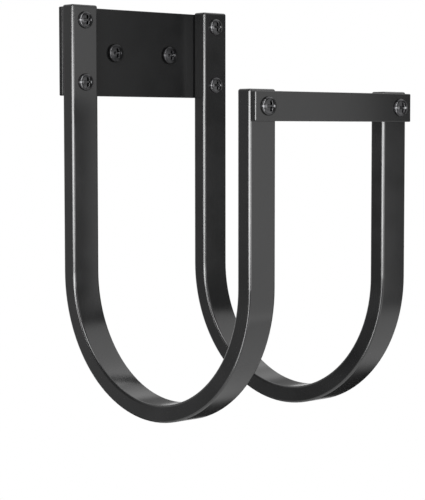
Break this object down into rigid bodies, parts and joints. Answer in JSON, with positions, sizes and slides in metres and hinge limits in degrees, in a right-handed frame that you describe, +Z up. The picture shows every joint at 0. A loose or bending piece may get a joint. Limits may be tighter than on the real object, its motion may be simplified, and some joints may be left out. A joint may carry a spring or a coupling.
{
  "type": "hose hanger",
  "caption": "Wall-mounted hose hanger: U-bent rectangular tube arms on a flat back plate, front ends tied by a flat bar, forming a cradle for a coiled hose.",
  "frame": {"origin": "on the wall plane (the back plate's rear face), midway between the two wall screws", "axes": "+Y into the wall, so the hanger stands out towards -Y; +X to the right seen from the front; +Z up"},
  "size_m": [0.1616, 0.2634, 0.313],
  "materials": {
    "coated_steel": "satin black powder coat",
    "cap_plastic": "black moulded, satin",
    "machine_screws": "black zinc, semi-gloss",
    "wall_screws": "black phosphate, matt",
    "plain_steel": "zinc plated"
  },
  "bodies": {
    "root": {"back_plate": "coated_steel", "left_arm": "coated_steel", "right_arm": "coated_steel", "front_bar": "coated_steel", "rear_left_cap": "cap_plastic", "rear_right_cap": "cap_plastic", "front_left_cap": "cap_plastic", "front_right_cap": "cap_plastic", "arm_screws": "machine_screws", "bar_screws": "machine_screws", "wall_screws": "wall_screws", "bar_nuts": "plain_steel"}
  },
  "joints": []
}
